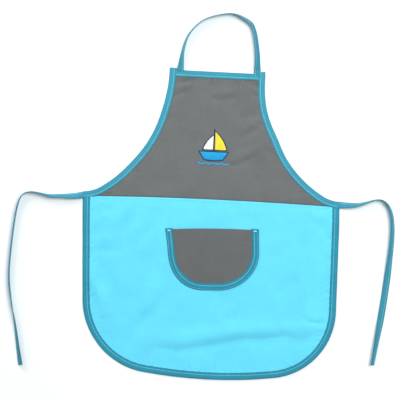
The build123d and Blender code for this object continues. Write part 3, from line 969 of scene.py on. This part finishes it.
def turned_in_edge():
    """The cloth's cut edges, turned down behind the waist seam."""
    width = half_skirt - tape_width
    columns, rows = 220, 8
    top = np.stack([np.linspace(-width, width, columns), np.full(columns, waist_y)], axis=1)
    bottom = top - (0.0, 0.010)
    bottom[:, 1] += 0.0004 * np.sin(top[:, 0] * 410) + 0.0003 * np.sin(top[:, 0] * 173)
    sides = [share_out([top[i], bottom[i]], rows) for i in (0, -1)]
    grid = coons(top, bottom, sides[0], sides[1])
    piece = two_sided("waist_turned_edge", grid, cloth_z, cloth_z - 0.0005, "turquoise_cotton", 0.0)
    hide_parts("waist_seam_allowance")
    return piece


waist_stitches = waist_row()
turned_edge = turned_in_edge()
folding = [skirt_piece, bib_piece, waist_stitches, turned_edge, *arm_pieces.values()]
for piece in folding:
    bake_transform(piece)


# Pocket

POCKET_CROWN = 0.0045      # how far its mouth stands off the skirt
pocket_shift = 0.0021      # the pocket is sewn on to the right of the middle
pocket_tilt = 0.038        # and turned, with its right side higher
pocket_ease = 0.0217       # how much wider than its pattern it lies
POCKET_BOW = 0.0038        # its sides bow to the right half-way down
POCKET_NARROWS = 0.0022    # and draw together there
POCKET_SHORT = 0.0012      # its bottom lies higher than its pattern's
POCKET_CORNERS = -0.0015   # and its lower corners lie lower
MOUTH_ARCH = 0.0020        # rise of the mouth's middle
MOUTH_TURN = 0.010         # cloth turned in at the mouth


def pocket_lie(flat):
    """Where the pocket's pattern lies: it is sewn on a little askew."""
    share = np.clip((mouth_y - flat[:, 1]) / (mouth_y - pocket_low.y), 0.0, 1.0)
    side = flat[:, 0] / half_pocket
    dx = pocket_shift + pocket_ease * flat[:, 0] + (POCKET_BOW - POCKET_NARROWS * side) * np.sin(pi * share)
    dy = pocket_tilt * flat[:, 0] + MOUTH_ARCH * (1 - side**2) * (1 - share)
    dy = dy + (POCKET_SHORT + POCKET_CORNERS * side**2) * share
    return flat + np.stack([dx, dy], axis=1)


def pocket_bulge(flat):
    """Height of the pocket above the skirt."""
    x = np.clip(np.abs(flat[:, 0]) / (half_pocket - tape_width - 0.001), 0.0, 1.0)
    down = np.clip((mouth_y - flat[:, 1]) / (mouth_y - pocket_low.y - tape_width - 0.001), 0.0, 1.0)
    across = np.cos(x * pi / 2) ** 1.2
    return POCKET_CROWN * across * (1 - down**1.6)


def pocket_sheet():
    """Pocket panel, with its mouth edge turned in to the back."""
    rows, columns = 76, 110
    front = rounded_grid(offset_path(pocket_path, IN_FOLD), 0.100, rows, columns)
    # The turned-in mouth hem: from its cut edge up to the fold, behind the front
    hem_rows = 8
    inner = share_out([(-half_pocket + tape_width, 0.0), (half_pocket - tape_width, 0.0)], columns)
    hem = np.stack([inner + (0.0, mouth_y - t) for t in np.linspace(MOUTH_TURN, 0.0002, hem_rows)])
    grid = np.concatenate([hem, front])
    lowered = np.concatenate([np.full(hem_rows * columns, 0.00065), np.zeros(rows * columns)])
    flat = grid.reshape(-1, 2)
    extra = pocket_bulge(flat) - lowered
    askew = pocket_lie(flat).reshape(grid.shape)
    piece = two_sided("pocket_sheet", askew, pocket_z + 0.0005, pocket_z, "grey_cotton", extra)
    # The pocket takes the darker copy of the grey cotton: painted shade.
    piece.data.materials[0] = shaded_finishes["pocket"]
    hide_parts("pocket_panel", "pocket_hem")
    return piece


pocket_piece = pocket_sheet()
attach(pocket_piece, "skirt")
pocket_tape_path = even(pocket_edge(mouth_y + 0.0018))    # its ends stand above the mouth
pocket_tape = sweep_tape("pocket_tape", pocket_tape_path, 1, base_z=face_z, seed=3.1, spread=1.05,
                         shift=pocket_lie)
# The pocket's tape takes the darker copy of the tape: painted shade.
pocket_tape.data.materials[0] = shaded_finishes["pocket_tape"]
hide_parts("pocket_binding")
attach(pocket_tape, "skirt")
for name, inset, front_z, width, node in (
    ("pocket_outer_stitches", edge_row_line, face_z + 0.0017, 0.0005, "pocket_outer_stitching"),
    ("pocket_inner_stitches", stitch_line, face_z + VALLEY_FRONT, 0.0009, "pocket_inner_stitching"),
):
    row = tape_row(name, pocket_path, 1, inset, front_z, 0.0004, pocket_lie, 0.004, width)
    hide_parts(node)
    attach(row, "skirt")


def bartacks():
    """A bar tack across each end of the pocket's mouth: close satin stitches."""
    starts, ends = [], []
    for side in (-1, 1):
        middle_x = side * (half_pocket - tape_width / 2)
        for i in range(13):
            y = mouth_y - 0.0012 - 0.00016 * i
            lean = 0.0002 if i % 2 else -0.0002
            starts.append((middle_x - 0.0028, y - lean))
            ends.append((middle_x + 0.0028, y + lean))
    level = face_z + tape_thick + 0.0001
    first = surface(pocket_lie(np.array(starts)), level)
    last = surface(pocket_lie(np.array(ends)), level)
    up = np.tile((0.0, 0.0, 1.0), (len(first), 1))
    piece = thread_dashes("bar_tacks", first, last, up, 0.0004, 0.0005, "pale_thread")
    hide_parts("pocket_bartacks")
    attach(piece, "skirt")


bartacks()


# Embroidered boat

motif_middle = np.array(((motif_low.x + motif_high.x) / 2, waist_y + 0.096))
boat_width = 0.056
boat_height = 0.066
deck_y = -0.12 * boat_height
keel_y = -0.35 * boat_height
boom_y = deck_y + 0.003
mast_top = boat_height / 2
deck_half = boat_width / 2 - 0.0013
keel_half = 0.3 * boat_width
luff = 0.0013
FLOSS_PITCH = 0.0006
FLOSS_Z = face_z + 0.0002


def satin(name, starts, ends, slot, node=None, height=0.0006):
    """Side-by-side floss stitches between two rows of points of the motif."""
    first = surface(np.asarray(starts) + motif_middle, FLOSS_Z)
    last = surface(np.asarray(ends) + motif_middle, FLOSS_Z)
    up = np.tile((0.0, 0.0, 1.0), (len(first), 1))
    piece = thread_dashes(name, first, last, up, 0.00072, height, slot)
    if node:
        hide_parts(node)
    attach(piece, "bib")
    return piece


def bow(first, last, belly):
    """A curve from first to last that swells sideways by belly."""
    t = np.linspace(0.0, 1.0, 24)[:, None]
    first, last = np.array(first), np.array(last)
    direction = (last - first) / np.linalg.norm(last - first)
    sideways = np.array((-direction[1], direction[0]))
    return first + (last - first) * t + sideways * belly * 4 * t * (1 - t)


def sail(reach, top, belly):
    """A sail's free edge from its top to its outer corner."""
    side = 1.0 if reach > 0 else -1.0
    return bow((side * luff, top), (reach, boom_y), side * belly)


def fill_across(edge, inner_x):
    """Level stitches from the mast's side to a sail's free edge."""
    ys = np.arange(edge[:, 1].min() + FLOSS_PITCH / 2, edge[:, 1].max(), FLOSS_PITCH)
    order = np.argsort(edge[:, 1])
    xs = np.interp(ys, edge[order, 1], edge[order, 0])
    return [(inner_x, y) for y in ys], [(x, y) for x, y in zip(xs, ys)]


def column(path, width):
    """Short stitches across a line, as embroidery outlines are made."""
    path = even(path, FLOSS_PITCH)
    normals = left_normals(path)
    return path - normals * width / 2, path + normals * width / 2


main_edge = sail(0.42 * boat_width, mast_top - 0.004, 0.0035)
jib_edge = sail(-0.36 * boat_width, mast_top - 0.011, 0.0028)
satin("mainsail_floss", *fill_across(main_edge, luff), "yellow_floss", "mainsail_embroidery")
satin("jib_floss", *fill_across(jib_edge, -luff), "white_floss", "jib_embroidery")


def hull_and_waves():
    xs = np.arange(-deck_half, deck_half, FLOSS_PITCH)
    slope = (deck_y - keel_y) / (deck_half - keel_half)
    keel = keel_y - 0.0015 * (1 - (xs / keel_half) ** 2)
    bottom = np.maximum(keel, deck_y - (deck_half - np.abs(xs)) * slope)
    bottom = np.where(np.abs(xs) < keel_half, keel, bottom)
    starts = [(x, deck_y) for x in xs]
    ends = [(x, y) for x, y in zip(xs, bottom)]
    wave_x = np.arange(-boat_width / 2, boat_width / 2, FLOSS_PITCH)
    pitch = boat_width / 4
    share = (wave_x + boat_width / 2) % pitch / pitch
    crest = -boat_height / 2 + 0.0015 + pitch / 5 * (2 * share - 1) ** 2
    starts += [(x, y + 0.0015) for x, y in zip(wave_x, crest)]
    ends += [(x, y - 0.0015) for x, y in zip(wave_x, crest)]
    satin("hull_floss", starts, ends, "blue_floss", "hull_embroidery")


hull_and_waves()


def outlines():
    lines = [
        [(-keel_half, keel_y), (-deck_half, deck_y), (deck_half, deck_y), (keel_half, keel_y)],
        bow((-keel_half, keel_y), (keel_half, keel_y), -0.0015),
        main_edge,
        jib_edge,
        [(luff, boom_y), (0.42 * boat_width, boom_y)],
        [(-luff, boom_y), (-0.36 * boat_width, boom_y)],
        [(0.0, deck_y), (0.0, mast_top)],
    ]
    starts, ends = [], []
    for line in lines:
        first, last = column(line, 0.0018)
        starts += first.tolist()
        ends += last.tolist()
    satin("outline_floss", starts, ends, "navy_floss", "outline_embroidery", 0.0009)


outlines()


def backing_patch():
    """Non-woven patch behind the motif, cut by hand."""
    middle = np.array(((backing_low.x + backing_high.x) / 2, (backing_low.y + backing_high.y) / 2))
    half = np.array(((backing_high.x - backing_low.x) / 2, (backing_high.y - backing_low.y) / 2))
    side = np.linspace(-1.0, 1.0, 30)
    u, v = np.meshgrid(side, side[::-1])
    round_off = 1.0 - 0.06 * (u * v) ** 4
    grid = np.stack([middle[0] + half[0] * u * round_off, middle[1] + half[1] * v * round_off], axis=2)
    waver = 0.0003 * np.sin(70 * u + 3) * np.sin(50 * v)
    grid = grid + waver[..., None]
    piece = two_sided("backing_patch", grid, cloth_z, cloth_z - 0.0003, "white_backing", 0.0)
    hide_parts("embroidery_backing")
    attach(piece, "bib")


backing_patch()


# Surface, light and world

def make_floor():
    mesh = bpy.data.meshes.new("floor")
    size = 3.0
    corners = [(x * size, y * size, 0.0) for x, y in ((-1, -1), (1, -1), (1, 1), (-1, 1))]
    mesh.from_pydata(corners, [], [(0, 1, 2, 3)])
    material, tree, shader = shader_tree("pale_surface", (0.86, 0.86, 0.86), 0.95)
    soft = noise_at(tree, place(tree), 6.0)
    shade_between(tree, shader, soft, (0.91, 0.96, 0.97), (0.93, 0.97, 0.98))
    mesh.materials.append(material)
    floor = bpy.data.objects.new("floor", mesh)
    bpy.context.scene.collection.objects.link(floor)


def area_light(name, location, size, power):
    """A square softbox that faces the origin."""
    light = bpy.data.lights.new(name, "AREA")
    light.shape = "SQUARE"
    light.size = size
    light.energy = power
    lamp = bpy.data.objects.new(name, light)
    lamp.location = location
    lamp.rotation_euler = Vector(location).to_track_quat("Z", "Y").to_euler()
    bpy.context.scene.collection.objects.link(lamp)


make_floor()
area_light("overhead", (1.1, 0.8, 2.7), 1.8, 77.0)
area_light("key", (-1.38, 1.74, 0.90), 1.4, 36.0)
world = bpy.data.worlds.new("world")
bpy.context.scene.world = world
world.use_nodes = True
background = world.node_tree.nodes["Background"]
background.inputs["Color"].default_value = (1.0, 1.0, 1.0, 1.0)
background.inputs["Strength"].default_value = 0.32
bpy.context.scene.view_settings.view_transform = "Standard"
